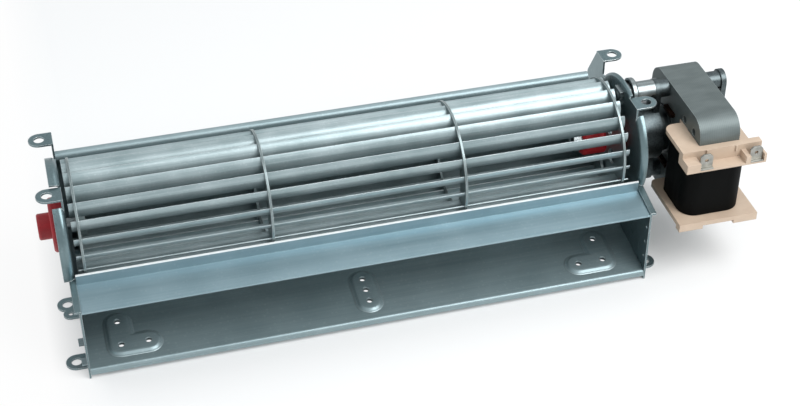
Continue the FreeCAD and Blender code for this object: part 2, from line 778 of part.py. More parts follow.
# Red rubber drive bush in the right disc, steel insert, and the motor shaft.
turned("drive_bush", "-span / 2", [
    ("span - bush_start", "insert_radius"),
    ("span - bush_end", "insert_radius"),
    ("span - bush_end", "bush_radius"),
    ("span - bush_start + bush_round", "bush_radius"),
    ("span - bush_start", "bush_radius - bush_round"),
])
turned("drive_insert", "-span / 2", [
    ("span - insert_start", "shaft_radius"),
    ("span - bush_end", "shaft_radius"),
    ("span - bush_end", "insert_radius"),
    ("span - insert_start", "insert_radius"),
])
turned("motor_shaft", "-span / 2", [
    ("span - insert_start + shaft_inset", "0"),
    ("span + motor_stand + stack + shaft_out", "0"),
    ("span + motor_stand + stack + shaft_out", "shaft_radius - shaft_chamfer"),
    ("span + motor_stand + stack + shaft_out - shaft_chamfer", "shaft_radius"),
    ("span - insert_start + shaft_inset", "shaft_radius"),
])
motor_x = "span / 2 + motor_stand"
turned("motor_rotor", motor_x, [
    ("-cage_over", "shaft_radius"),
    ("stack + cage_over", "shaft_radius"),
    ("stack + cage_over", "cage_ring"),
    ("stack + cage_step", "cage_ring"),
    ("stack + cage_step", "bore_radius - air_gap"),
    ("-cage_step", "bore_radius - air_gap"),
    ("-cage_step", "cage_ring"),
    ("-cage_over", "cage_ring"),
])

# Laminated core: one frame with the coil leg at the front and the bore at the back.
core = new_body("stator_core", motor_x, "axis_back", "axis_height")
drawing = new_sketch(core, "YZ")
outline(drawing, [
    ("-core_front + core_corner", "-core_bottom"),
    ("core_back - core_corner", "-core_bottom", "core_corner", 1),
    ("core_back", "-core_bottom + core_corner"),
    ("core_back", "core_top - core_corner", "core_corner", 1),
    ("core_back - core_corner", "core_top"),
    ("-core_front + core_corner", "core_top", "core_corner", 1),
    ("-core_front", "core_top - core_corner"),
    ("-core_front", "-core_bottom + core_corner", "core_corner", 1),
])
ring(drawing, "0", "0", "bore_radius")
window_left = "-core_front + leg_width"
box_outline(drawing, window_left, "-window_bottom", window_left + " + window_width", "window_top")
ring(drawing, "0", "stud_circle", "stud_radius + stud_gap")
ring(drawing, "0", "-stud_circle", "stud_radius + stud_gap")
pad(core, drawing, "stack")
drawing = new_sketch(core, "YZ")
for across in ("-core_front + rivet_front", "-core_front + leg_width + rivet_back"):
    for up in ("core_top - rivet_drop", "-core_bottom + rivet_rise"):
        ring(drawing, across, up, "core_rivet")
for start in ("-shade_front", "-shade_front + shade_span - shade_wire"):
    for low in ("shade_height", "-shade_height - shade_wire"):
        box_outline(drawing, start + " - shade_gap", low + " - shade_gap",
                    start + " + shade_wire + shade_gap", low + " + shade_wire + shade_gap")
pocket(core, drawing, "stack")

# Copper shading rings, each a closed loop through two slots beside the bore.
for label, low in (("shading_ring_top", "shade_height"),
                   ("shading_ring_bottom", "-shade_height - shade_wire")):
    shade = new_body(label, motor_x, "axis_back", "axis_height")
    drawing = new_sketch(shade, "XY", low)
    box_outline(drawing, "-shade_gap - shade_wire", "-shade_front",
                "stack + shade_gap + shade_wire", "-shade_front + shade_span")
    box_outline(drawing, "-shade_gap", "-shade_front + shade_wire",
                "stack + shade_gap", "-shade_front + shade_span - shade_wire")
    pad(shade, drawing, "shade_wire")

# Bobbin: moulded tube round the coil leg, with two flanges and a terminal tray.
bobbin = new_body("bobbin", motor_x, "axis_back", "axis_height")
tube = "(bobbin_gap + bobbin_wall)"
leg_back = "(-core_front + leg_width)"
window_back = "(-core_front + leg_width + window_width)"
high = "(window_top - bobbin_gap)"
low = "(-window_bottom + bobbin_gap)"
drawing = new_sketch(bobbin, "XY", low)
box_outline(drawing, "-" + tube, "-core_front - " + tube, "stack + " + tube, leg_back + " + " + tube)
box_outline(drawing, "-bobbin_gap", "-core_front - bobbin_gap",
            "stack + bobbin_gap", leg_back + " + bobbin_gap")
pad(bobbin, drawing, high + " - " + low)


def flange(level, thick, wide, reach, radius):
    """Flange round the tube: full at the front, two arms back past the stack."""
    drawing = new_sketch(bobbin, "XY", level)
    back = "(" + leg_back + " + " + reach + ")"
    outline(drawing, [
        ("-flange_side", "-core_front - flange_front"),
        ("stack + " + wide, "-core_front - flange_front"),
        ("stack + " + wide, back + " - " + radius, radius, 1),
        ("stack + " + wide + " - " + radius, back),
        ("stack + arm_gap", back),
        ("stack + arm_gap", window_back + " - window_gap"),
        ("-arm_gap", window_back + " - window_gap"),
        ("-arm_gap", back),
        ("-flange_side + " + radius, back, radius, 1),
        ("-flange_side", back + " - " + radius),
    ])
    box_outline(drawing, "-bobbin_gap", "-core_front - bobbin_gap", "stack + bobbin_gap",
                leg_back + " + bobbin_gap")
    pad(bobbin, drawing, thick)


flange(low, "flange_low", "flange_side", "low_arm_back", "low_arm_round")
flange(high + " - flange_high", "flange_high", "arm_side", "arm_back", "arm_round")
# Terminal tray: a box in front of the upper flange, with lower end blocks, a ridge and two ribs behind.
drawing = new_sketch(bobbin, "XY", high + " - tray_drop")
box_outline(drawing, "-flange_side", "-core_front - flange_front",
            "stack + flange_side", "-core_front - bobbin_gap")
pad(bobbin, drawing, "tray_drop")
drawing = new_sketch(bobbin, "XY", high)
box_outline(drawing, "-flange_side", "-core_front - flange_front",
            "stack + flange_side", "-core_front - tray_back")
pocket(bobbin, drawing, "block_drop", True)
# Recesses of the tray, open to the front between its end blocks.
drawing = new_sketch(bobbin, "XY", high)
box_outline(drawing, "-flange_side + tray_end", "-core_front - flange_front",
            "-flange_side + tab_second - tab_blade / 2 - block_width", "-core_front - tray_back")
box_outline(drawing, "-flange_side + tab_second - tab_blade / 2", "-core_front - flange_front",
            "-flange_side + tab_second + tab_blade / 2 + block_gap", "-core_front - tray_back")
pocket(bobbin, drawing, "tray_depth", True)
drawing = new_sketch(bobbin, "XY", high + " - block_drop")
for along in ("-flange_side + rib_first", "-flange_side + rib_second"):
    box_outline(drawing, along, "-core_front - tray_back - rib_out",
                along + " + rib_width", "-core_front - tray_back")
pad(bobbin, drawing, "block_drop")
drawing = new_sketch(bobbin, "XY", low)
for across in ("-flange_side", "stack + flange_side - toe_length"):
    box_outline(drawing, across, "-core_front - flange_front",
                across + " + toe_length", "-core_front - flange_front + toe_width")
pad(bobbin, drawing, "toe_drop", True)

# Coil of taped winding round the bobbin tube.
coil = new_body("coil", motor_x, "axis_back", "axis_height")
drawing = new_sketch(coil, "XY", low + " + flange_low + coil_gap")
inner_gap = "(" + tube + " + coil_gap)"
x_a = "-" + tube + " - coil_left"
x_b = "stack + " + tube + " + coil_right"
y_a = "-core_front - " + tube + " - coil_front"
y_b = leg_back + " + " + tube + " + coil_back"
outline(drawing, [
    (x_a + " + coil_corner", y_a),
    (x_b + " - coil_corner", y_a, "coil_corner", 1),
    (x_b, y_a + " + coil_corner"),
    (x_b, y_b + " - coil_round", "coil_round", 1),
    (x_b + " - coil_round", y_b),
    (x_a + " + coil_round", y_b, "coil_round", 1),
    (x_a, y_b + " - coil_round"),
    (x_a, y_a + " + coil_corner", "coil_corner", 1),
])
box_outline(drawing, "-" + inner_gap, "-core_front - " + inner_gap, "stack + " + inner_gap,
            leg_back + " + " + inner_gap)
pad(coil, drawing, high + " - " + low + " - flange_high - flange_low - 2 * coil_gap")
drawing = new_sketch(coil, "XY", high + " - flange_high - coil_gap")
box_outline(drawing, x_a, y_a, x_b, "-core_front - bobbin_gap + coil_gap")
pocket(coil, drawing, "tray_drop - flange_high", True)

# Blade terminals standing in the tray.
for label, along in (("terminal_left", "tab_first"), ("terminal_right", "tab_second")):
    terminal = new_body(label, motor_x + " - flange_side + " + along, "axis_back - core_front - tab_front",
                        "axis_height + window_top - bobbin_gap - tray_depth + tab_seat")
    drawing = new_sketch(terminal, "XZ")
    outline(drawing, [
        ("-tab_blade / 2", "0"),
        ("tab_blade / 2", "0"),
        ("tab_blade / 2", "tab_height - tab_taper"),
        ("tab_blade / 2 - tab_taper", "tab_height"),
        ("-tab_blade / 2 + tab_taper", "tab_height"),
        ("-tab_blade / 2", "tab_height - tab_taper"),
    ])
    ring(drawing, "0", "tab_eye_up", "tab_eye")
    pad(terminal, drawing, "tab_thick")
    drawing = new_sketch(terminal, "XY")
    box_outline(drawing, "-tab_blade / 2", "-tab_thick - tab_foot", "tab_blade / 2", "0")
    pad(terminal, drawing, "tab_thick")


def motor_bracket(label, side, leg):
    """Bearing bracket: bar across the stack on two legs, with a seat for the bearing."""
    s = "" if side > 0 else "-"
    x = motor_x + (" + stack" if side > 0 else "")
    body = new_body(label, x, "axis_back", "axis_height")
    away = side < 0
    drawing = new_sketch(body, "YZ", s + leg)
    half = "bar_width / 2"
    outline(drawing, [
        (half, "-stud_circle"),
        (half, "stud_circle", half, 1),
        ("0", "stud_circle + " + half, half, 1),
        ("-" + half, "stud_circle"),
        ("-" + half, "-stud_circle", half, 1),
        ("0", "-stud_circle - " + half, half, 1),
    ])
    pad(body, drawing, "bar_steel", away)
    drawing = new_sketch(body, "YZ")
    for up in ("stud_circle", "-stud_circle"):
        ring(drawing, "0", up, "leg_radius")
    pad(body, drawing, leg, away)
    if side < 0:
        # Wide cup towards the end plate, with the bearing at its bottom.
        first = leg + " + bar_steel + cup_depth - bearing_length"
        last = leg + " + bar_steel + cup_depth"
        drawing = new_sketch(body, "YZ", s + leg)
        ring(drawing, "0", "0", "cup_radius")
        pad(body, drawing, "bar_steel + cup_depth", away)
        drawing = new_sketch(body, "YZ", s + leg)
        ring(drawing, "0", "0", "cup_radius - cup_wall")
        ring(drawing, "0", "0", "seat_radius")
        pocket(body, drawing, "bar_steel + cup_depth - cup_wall", away)
        drawing = new_sketch(body, "YZ", s + leg)
        ring(drawing, "0", "0", "retainer_radius")
        pocket(body, drawing, "bar_steel + cup_depth - bearing_length", away)
    else:
        # Short hub on both faces of the bar, and the screw heads sunk into the bar's ends.
        first = leg + " - hub_in"
        last = leg + " + bar_steel + hub_out"
        drawing = new_sketch(body, "YZ", first)
        ring(drawing, "0", "0", "seat_radius")
        pad(body, drawing, "hub_in + bar_steel + hub_out")
        drawing = new_sketch(body, "YZ", leg + " + bar_steel - head_height")
        for up in ("stud_circle", "-stud_circle"):
            ring(drawing, "0", up, "head_radius + head_gap")
        pocket(body, drawing, "head_height")
    drawing = new_sketch(body, "YZ")
    ring(drawing, "0", "0", "bearing_radius")
    for up in ("stud_circle", "-stud_circle"):
        ring(drawing, "0", up, "stud_radius + stud_gap")
    pocket(body, drawing, last, away)
    turned(label.replace("bracket", "bearing"), x, [
        (s + "(" + first + ")", "shaft_radius + running_gap"),
        (s + "(" + last + ")", "shaft_radius + running_gap"),
        (s + "(" + last + ")", "bearing_radius"),
        (s + "(" + first + ")", "bearing_radius"),
    ])


motor_bracket("motor_bracket_left", -1, "left_leg")
motor_bracket("motor_bracket_right", 1, "right_leg")

# Spacer tubes from the end plate to the motor, each with a cupped collar.
for label, up in (("spacer_top", "stud_circle"), ("spacer_bottom", "-stud_circle")):
    spacer = new_body(label, "span / 2 + plate_steel", "axis_back", "axis_height + " + up)
    drawing = new_sketch(spacer, "XZ")
    outline(drawing, [
        ("0", "stud_radius + stud_gap"),
        ("motor_stand - plate_steel - left_leg - bar_steel", "stud_radius + stud_gap"),
        ("motor_stand - plate_steel - left_leg - bar_steel", "spacer_radius"),
        ("collar_at + collar_steel", "spacer_radius"),
        ("collar_at + collar_steel", "collar_radius - collar_steel", "collar_steel", 1),
        ("collar_at", "collar_radius"),
        ("collar_at - collar_lip", "collar_radius"),
        ("collar_at - collar_lip", "collar_radius - collar_steel"),
        ("collar_at", "collar_radius - collar_steel"),
        ("collar_at", "spacer_radius"),
        ("0", "spacer_radius"),
    ])
    revolve(spacer, drawing)

# Two long motor screws with their heads sunk into the outer bracket, and their square nuts.
screws = []
nuts = []
for name, way in (("upper", 1), ("lower", -1)):
    shank = doc.addObject("Part::Cylinder", "motor_screw_shank_" + name)
    bind(shank, "Radius", "stud_radius")
    bind(shank, "Height",
         "motor_stand + stack + right_leg + bar_steel + nut_height + screw_end - head_height / 2")
    head = doc.addObject("Part::Cylinder", "motor_screw_head_" + name)
    bind(head, "Radius", "head_radius")
    bind(head, "Height", "head_height")
    up = "axis_height + " + ("" if way > 0 else "-") + "stud_circle"
    place(shank, "span / 2 - nut_height - screw_end", "axis_back", up, "90", (0, 1, 0))
    place(head, "span / 2 + motor_stand + stack + right_leg + bar_steel - head_height", "axis_back", up, "90",
          (0, 1, 0))
    whole = doc.addObject("Part::Fuse", "motor_screw_" + name)
    whole.Base = shank
    whole.Tool = head
    screws.append(whole)
    block = doc.addObject("Part::Box", "motor_nut_block_" + name)
    bind(block, "Length", "nut_height")
    bind(block, "Width", "2 * nut_radius")
    bind(block, "Height", "2 * nut_radius")
    place(block, "span / 2 - nut_height", "axis_back - nut_radius", up + " - nut_radius")
    bore = doc.addObject("Part::Cylinder", "motor_nut_bore_" + name)
    bind(bore, "Radius", "stud_radius")
    bind(bore, "Height", "nut_height")
    place(bore, "span / 2 - nut_height", "axis_back", up, "90", (0, 1, 0))
    nut = doc.addObject("Part::Cut", "motor_nut_" + name)
    nut.Base = block
    nut.Tool = bore
    nuts.append(nut)
for label, members in (("motor_screws", screws), ("motor_nuts", nuts)):
    group = doc.addObject("Part::Compound", label)
    group.Links = members
doc.recompute()

nodes = [item for item in doc.Objects if item.TypeId == "PartDesign::Body"]
nodes += [item for item in doc.Objects if item.TypeId in ("Part::Feature", "Part::Compound")
          and not item.InList]
for item in doc.Objects:
    if "Invalid" in item.State or "Error" in item.State:
        raise RuntimeError(item.Name + " did not compute: " + item.getStatusString())
for item in nodes:
    if item.Shape.isNull() or not item.Shape.isValid():
        raise RuntimeError(item.Label + " has no valid shape")
os.makedirs("parts", exist_ok=True)
for item in nodes:
    item.Shape.exportStep("parts/" + item.Label + ".step")
print(len(nodes), "nodes")
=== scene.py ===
import math

import bpy
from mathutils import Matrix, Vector


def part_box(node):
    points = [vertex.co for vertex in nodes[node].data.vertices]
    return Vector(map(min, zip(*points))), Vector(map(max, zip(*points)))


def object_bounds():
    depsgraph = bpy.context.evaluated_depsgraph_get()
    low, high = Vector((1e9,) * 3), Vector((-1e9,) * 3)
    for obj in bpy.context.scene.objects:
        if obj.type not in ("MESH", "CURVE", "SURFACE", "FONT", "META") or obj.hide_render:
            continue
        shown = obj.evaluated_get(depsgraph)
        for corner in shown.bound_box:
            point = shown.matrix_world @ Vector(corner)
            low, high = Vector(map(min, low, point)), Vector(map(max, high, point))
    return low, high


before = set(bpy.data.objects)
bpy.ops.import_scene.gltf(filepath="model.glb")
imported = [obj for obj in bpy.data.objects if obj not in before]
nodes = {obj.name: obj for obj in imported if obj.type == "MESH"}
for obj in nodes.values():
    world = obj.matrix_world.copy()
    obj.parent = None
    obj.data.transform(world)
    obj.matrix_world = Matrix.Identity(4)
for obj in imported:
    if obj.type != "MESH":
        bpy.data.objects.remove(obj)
cad_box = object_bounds()

# Scroll sheet and tongue sheet.
# The real ones are 0.8 mm steel strip with a hot dip zinc coat, folded on a press brake.
# The coat is a cool blue grey with soft clouds, faint rolling lines along the fan and a few bright crystals.
millimetre = 0.001


def linear(code):
    """An sRGB hex colour as the linear values a shader socket takes."""
    values = []
    for start in (0, 2, 4):
        part = int(code[start:start + 2], 16) / 255
        values.append(part / 12.92 if part <= 0.04045 else ((part + 0.055) / 1.055) ** 2.4)
    return (*values, 1.0)


def add_node(material, kind, settings=None, inputs=None, stops=None):
    """Add one node: settings are its own properties, inputs are values or the sockets that feed it."""
    tree = material.node_tree
    node = tree.nodes.new(kind)
    for name, value in (settings or {}).items():
        setattr(node, name, value)
    for name, value in (inputs or {}).items():
        if isinstance(value, bpy.types.NodeSocket):
            tree.links.new(value, node.inputs[name])
        else:
            node.inputs[name].default_value = value
    if stops:
        ramp = node.color_ramp.elements
        for element, (at, colour) in zip(ramp, stops):
            element.position = at
            element.color = linear(colour)
    return node


# A Mix node has three sockets of each name. These are its two colours and its mixed colour.
first_colour, second_colour, mixed_colour = 6, 7, 2


def new_material(name, metallic=0.0):
    """A material with its shader and output joined; returns the material and the shader."""
    material = bpy.data.materials.new(name)
    material.use_nodes = True
    material.node_tree.nodes.clear()
    shader = add_node(material, "ShaderNodeBsdfPrincipled", inputs={"Metallic": metallic})
    add_node(material, "ShaderNodeOutputMaterial", inputs={"Surface": shader.outputs[0]})
    return material, shader


def in_mm(material, x, y, z):
    """Object coordinates counted in features that are x, y and z millimetres long."""
    place = add_node(material, "ShaderNodeTexCoord")
    per_metre = tuple(1 / (size * millimetre) for size in (x, y, z))
    mapping = add_node(material, "ShaderNodeMapping", None,
                       {"Vector": place.outputs["Object"], "Scale": per_metre})
    return mapping.outputs[0]


def finish(material, shader, colour, rough, relief, relief_mm, edge_mm, painted_edge_colour=None):
    """Join colour, roughness and relief to the shader, over edges rounded to edge_mm; a given edge colour is
    painted along edges and folds, as painted highlight where it is lighter and painted shade where it is
    darker.
    """
    edges = add_node(material, "ShaderNodeBevel", {"samples": 4}, {"Radius": edge_mm * millimetre})
    # Painted highlight along edges and folds where the edge colour is lighter, painted shade where it is
    # darker.
    if painted_edge_colour:
        edge_paint_starts, edge_paint_full = 0.99, 0.85
        flat = add_node(material, "ShaderNodeNewGeometry")
        turn = add_node(material, "ShaderNodeVectorMath", {"operation": "DOT_PRODUCT"},
                        {0: edges.outputs[0], 1: flat.outputs["Normal"]})
        painted_edge_mask = add_node(material, "ShaderNodeMapRange", None, {
            "Value": turn.outputs["Value"], "From Min": edge_paint_starts, "From Max": edge_paint_full})
        painted_edge = add_node(material, "ShaderNodeMix", {"data_type": "RGBA"}, {
            "Factor": painted_edge_mask.outputs[0], first_colour: colour, second_colour: linear(painted_edge_colour)})
        colour = painted_edge.outputs[mixed_colour]
    bump = add_node(material, "ShaderNodeBump", None, {
        "Strength": 1.0, "Distance": relief_mm * millimetre, "Height": relief, "Normal": edges.outputs[0]})
    for socket, value in (("Base Color", colour), ("Roughness", rough), ("Normal", bump.outputs[0])):
        material.node_tree.links.new(value, shader.inputs[socket])


def zinc_strip(name, dark, light, crystal, rough, grain_mm, metallic=0.8, cloud_mm=22.0, speck_mm=2.6,
               relief_mm=0.004, painted_edge_colour="dfe6e7"):
    """Zinc coated strip: clouds, rolling grain of grain_mm (x, y, z), scattered crystals and a painted edge
    colour along edges and folds, near white by default as a painted highlight.
    """
    edge_mm = 0.35
    grain_share = 0.45
    speck_rim, speck_heart, speck_strength = 0.30, 0.12, 0.3
    gloss_swing = 0.05
    material, shader = new_material(name, metallic)
    cloud = add_node(material, "ShaderNodeTexNoise", None, {
        "Vector": in_mm(material, cloud_mm, cloud_mm, cloud_mm), "Scale": 1.0, "Detail": 3, "Roughness": 0.5})
    grain = add_node(material, "ShaderNodeTexNoise", None, {
        "Vector": in_mm(material, *grain_mm), "Scale": 1.0, "Detail": 3, "Roughness": 0.6})
    mixed = add_node(material, "ShaderNodeMix", {"data_type": "FLOAT"}, {
        "Factor": grain_share, "A": cloud.outputs[0], "B": grain.outputs[0]})
    cells = add_node(material, "ShaderNodeTexVoronoi", {"feature": "F1"}, {
        "Vector": in_mm(material, speck_mm, speck_mm, speck_mm), "Scale": 1.0, "Randomness": 1.0})
    specks = add_node(material, "ShaderNodeMapRange", None, {
        "Value": cells.outputs["Distance"], "From Min": speck_rim, "From Max": speck_heart,
        "To Max": speck_strength})
    patchy = add_node(material, "ShaderNodeMath", {"operation": "MULTIPLY"},
                      {0: specks.outputs[0], 1: cloud.outputs[0]})
    body = add_node(material, "ShaderNodeValToRGB", None, {0: mixed.outputs[0]},
                    stops=[(0.32, dark), (0.68, light)])
    colour = add_node(material, "ShaderNodeMix", {"data_type": "RGBA"}, {
        "Factor": patchy.outputs[0], first_colour: body.outputs[0], second_colour: linear(crystal)})
    gloss = add_node(material, "ShaderNodeMapRange", None, {
        "Value": mixed.outputs[0], "From Min": 0.3, "From Max": 0.7,
        "To Min": rough - gloss_swing, "To Max": rough + gloss_swing})
    finish(material, shader, colour.outputs[mixed_colour], gloss.outputs[0], grain.outputs[0],
           relief_mm, edge_mm, painted_edge_colour)
    return material


def sheared_top(material, piece, band_mm, metallic, top_highlight_colour):
    """Paint the sheared top edge of a sheet, a band_mm band, near white and scattering: a painted highlight
    on the bare cut edge.
    """
    top_highlight_metallic = 0.1
    band = band_mm * millimetre
    band_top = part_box(piece)[1][2]
    fade_in = band / 3
    tree = material.node_tree
    shader = [node for node in tree.nodes if node.type == "BSDF_PRINCIPLED"][0]
    place = add_node(material, "ShaderNodeTexCoord")
    height = add_node(material, "ShaderNodeSeparateXYZ", None, {0: place.outputs["Object"]})
    share = add_node(material, "ShaderNodeMapRange", None, {
        "Value": height.outputs["Z"], "From Min": band_top - band, "From Max": band_top - band + fade_in})
    coated = shader.inputs["Base Color"].links[0].from_socket
    colour = add_node(material, "ShaderNodeMix", {"data_type": "RGBA"}, {
        "Factor": share.outputs[0], first_colour: coated, second_colour: linear(top_highlight_colour)})
    scatter = add_node(material, "ShaderNodeMapRange", None, {
        "Value": share.outputs[0], "To Min": metallic, "To Max": top_highlight_metallic})
    tree.links.new(colour.outputs[mixed_colour], shader.inputs["Base Color"])
    tree.links.new(scatter.outputs[0], shader.inputs["Metallic"])


def dress(material, *names):
    """Give whole CAD nodes one material."""
    for name in names:
        for slot in nodes[name].material_slots:
            slot.material = material


# Its edges and the outlines of its bosses get a painted highlight.
scroll_zinc = zinc_strip(
    "galvanised_steel_folded_sheet", dark="84979b", light="97a8ac", crystal="b4c4c7", rough=0.42,
    grain_mm=(70, 0.9, 0.9), metallic=0.6, painted_edge_colour="a4b0b3")
dress(scroll_zinc, "scroll_sheet")

tongue_metallic = 0.8
# A painted shade, darker than the coat, along its edges and folds.
tongue_zinc = zinc_strip(
    "galvanised_steel_tongue_sheet", dark="8aa2ab", light="9cb2ba", crystal="b4c5ca", rough=0.42,
    grain_mm=(90, 1.2, 1.2), metallic=tongue_metallic, painted_edge_colour="7f979d")
# A painted near white highlight along the tongue sheet's sheared top edge.
sheared_top(tongue_zinc, "tongue_sheet", band_mm=0.7, metallic=tongue_metallic, top_highlight_colour="f4f7f7")
dress(tongue_zinc, "tongue_sheet")

# End plates.
# The real ones are 0.9 mm galvanised steel blanks with a drawn rim and ears, pressed in one stroke.
# The same zinc as the sheets, with the rolling grain running up the plate and a painted highlight along its
# edges and pressed folds.
plate_zinc = zinc_strip(
    "galvanised_steel_pressed_plate", dark="63767a", light="788b8f", crystal="9fb0b3", rough=0.30,
    grain_mm=(0.9, 0.9, 45))
dress(plate_zinc, "left_end_plate", "right_end_plate")

# Bearing holder.
# The real one is a red glass filled nylon cup, injection moulded, snapped into the left end plate.
# Moulded nylon gives a deep even red with a satin skin and faint flow marks.


def moulded(name, dark, light, rough, flow_mm, relief_mm, edge_mm):
    """Injection moulded plastic: flow marks of flow_mm (x, y, z) and a fine spark eroded skin."""
    skin_mm = 0.5
    gloss_swing = 0.06
    material, shader = new_material(name)
    flow = add_node(material, "ShaderNodeTexNoise", None, {
        "Vector": in_mm(material, *flow_mm), "Scale": 1.0, "Detail": 4, "Roughness": 0.55, "Distortion": 0.6})
    skin = add_node(material, "ShaderNodeTexNoise", None, {
        "Vector": in_mm(material, skin_mm, skin_mm, skin_mm), "Scale": 1.0, "Detail": 2, "Roughness": 0.5})
    colour = add_node(material, "ShaderNodeValToRGB", None, {0: flow.outputs[0]},
                      stops=[(0.35, dark), (0.65, light)])
    gloss = add_node(material, "ShaderNodeMapRange", None, {
        "Value": skin.outputs[0], "From Min": 0.3, "From Max": 0.7,
        "To Min": rough - gloss_swing, "To Max": rough + gloss_swing})
    finish(material, shader, colour.outputs[0], gloss.outputs[0], skin.outputs[0], relief_mm, edge_mm)
    return material


red_nylon = moulded("moulded_red_nylon", dark="93121d", light="ad1925", rough=0.45,
                    flow_mm=(6, 9, 9), relief_mm=0.006, edge_mm=0.3)
dress(red_nylon, "bearing_holder")

# Bearing sleeve and motor bearings.
# The real ones are pressed and sintered bronze powder, soaked in oil.
# The pores show as dark points in a dull yellow brown metal.


def porous_metal(name, dark, light, rough, pore_mm, relief_mm):
    """Sintered, cast or tinned metal: grains of pore_mm over slow clouds."""
    cloud_mm = 7
    cloud_share = 0.55
    gloss_swing = 0.08
    edge_mm = 0.3
    material, shader = new_material(name, 1.0)
    grains = add_node(material, "ShaderNodeTexVoronoi", {"feature": "F1"}, {
        "Vector": in_mm(material, pore_mm, pore_mm, pore_mm), "Scale": 1.0})
    cloud = add_node(material, "ShaderNodeTexNoise", None, {
        "Vector": in_mm(material, cloud_mm, cloud_mm, cloud_mm), "Scale": 1.0, "Detail": 4, "Roughness": 0.6})
    mixed = add_node(material, "ShaderNodeMix", {"data_type": "FLOAT"}, {
        "Factor": cloud_share, "A": grains.outputs["Distance"], "B": cloud.outputs[0]})
    colour = add_node(material, "ShaderNodeValToRGB", None, {0: mixed.outputs[0]},
                      stops=[(0.3, dark), (0.62, light)])
    gloss = add_node(material, "ShaderNodeMapRange", None, {
        "Value": mixed.outputs[0], "From Min": 0.2, "From Max": 0.7,
        "To Min": rough - gloss_swing, "To Max": rough + gloss_swing})
    finish(material, shader, colour.outputs[0], gloss.outputs[0], grains.outputs["Distance"],
           relief_mm, edge_mm)
    return material


bronze = porous_metal("sintered_oiled_bronze", dark="5e4427", light="9a7545", rough=0.5,
                      pore_mm=0.4, relief_mm=0.01)
dress(bronze, "bearing_sleeve", "motor_bearing_left", "motor_bearing_right")

# Stub shaft, motor shaft and drive insert.
# The real ones are free cutting steel bar, turned and ground.
# Grinding leaves fine rings round the bar and a bright hard highlight along it.


def turned_metal(name, dark, light, rough, ring_mm, relief_mm):
    """Metal turned about X: rings ring_mm apart and a little wear."""
    ring_length_mm = 12
    wear_mm = 5
    wear_share = 0.4
    polished, dulled = 0.05, 0.1
    edge_mm = 0.2
    material, shader = new_material(name, 1.0)
    rings = add_node(material, "ShaderNodeTexNoise", None, {
        "Vector": in_mm(material, ring_mm, ring_length_mm, ring_length_mm),
        "Scale": 1.0, "Detail": 3, "Roughness": 0.7})
    wear = add_node(material, "ShaderNodeTexNoise", None, {
        "Vector": in_mm(material, wear_mm, wear_mm, wear_mm), "Scale": 1.0, "Detail": 5, "Roughness": 0.65})
    mixed = add_node(material, "ShaderNodeMix", {"data_type": "FLOAT"}, {
        "Factor": wear_share, "A": rings.outputs[0], "B": wear.outputs[0]})
    colour = add_node(material, "ShaderNodeValToRGB", None, {0: mixed.outputs[0]},
                      stops=[(0.3, dark), (0.7, light)])
    gloss = add_node(material, "ShaderNodeMapRange", None, {
        "Value": wear.outputs[0], "From Min": 0.3, "From Max": 0.7,
        "To Min": rough - polished, "To Max": rough + dulled})
    finish(material, shader, colour.outputs[0], gloss.outputs[0], rings.outputs[0], relief_mm, edge_mm)
    return material


ground_steel = turned_metal("ground_steel_bar", dark="8f9799", light="b9c0c1", rough=0.24,
                            ring_mm=0.25, relief_mm=0.0004)
dress(ground_steel, "stub_shaft", "motor_shaft", "drive_insert")

# Wheel blades.
# The real ones are 0.5 mm aluminised steel strip, roll formed to an arc and staked in the slotted rings.
# Drawn out streaks along the blade, a satin sheen, and a painted highlight on the cut edges.
blade_strip = zinc_strip(
    "aluminised_steel_roll_formed_strip", dark="839598", light="a9b7ba", crystal="d5dddf", rough=0.33,
    grain_mm=(55, 0.55, 0.55), metallic=0.45, cloud_mm=16.0, speck_mm=1.6, relief_mm=0.006)
dress(blade_strip, *sorted(name for name in nodes if name.startswith("blade_")))

# Wheel rings.
# The real ones are punched steel strip discs, slotted for the blades and staked from both sides.
# A little darker and duller than the blades, with a painted highlight on the rims.
ring_strip = zinc_strip(
    "aluminised_steel_punched_ring", dark="727f81", light="8b9899", crystal="b8c1c1", rough=0.34,
    grain_mm=(2, 6, 6), metallic=0.7, speck_mm=1.8)
dress(ring_strip, "left_end_disc", "middle_ring_left", "middle_ring_right", "right_end_disc")

# Drive bush.
# The real one is red silicone rubber, moulded round a steel insert, and it takes up the wheel's run out.
# Rubber is duller than the nylon of the holder.
red_rubber = moulded("moulded_red_rubber", dark="a8131c", light="c11d27", rough=0.62,
                     flow_mm=(8, 8, 8), relief_mm=0.01, edge_mm=0.4)
dress(red_rubber, "drive_bush")

# Motor brackets.
# The real ones are zinc die castings that carry the two motor bearings.
# A fine grained cast skin, dark grey.
cast_zinc = porous_metal("die_cast_zinc_skin", dark="495154", light="5f686a", rough=0.36,
                         pore_mm=0.9, relief_mm=0.004)
dress(cast_zinc, "motor_bracket_left", "motor_bracket_right")

# Spacers, screws and nuts.
# The real ones are cold headed or turned steel with bright zinc plating.
# Turning rings round the barrels under a thin bluish plate.
bright_plate = turned_metal("zinc_plated_turned_steel", dark="7f888a", light="9aa2a3", rough=0.3,
                            ring_mm=0.4, relief_mm=0.0004)
dress(bright_plate, "spacer_top", "spacer_bottom", "motor_screws", "motor_nuts")

# Stator core.
# The real one is a stack of 0.5 mm electrical steel sheets, punched and riveted across the stack.
# Sheet edges show as fine lines round the stack, 0.9 mm apart here so that they can be seen.
lamination_mm = 0.9
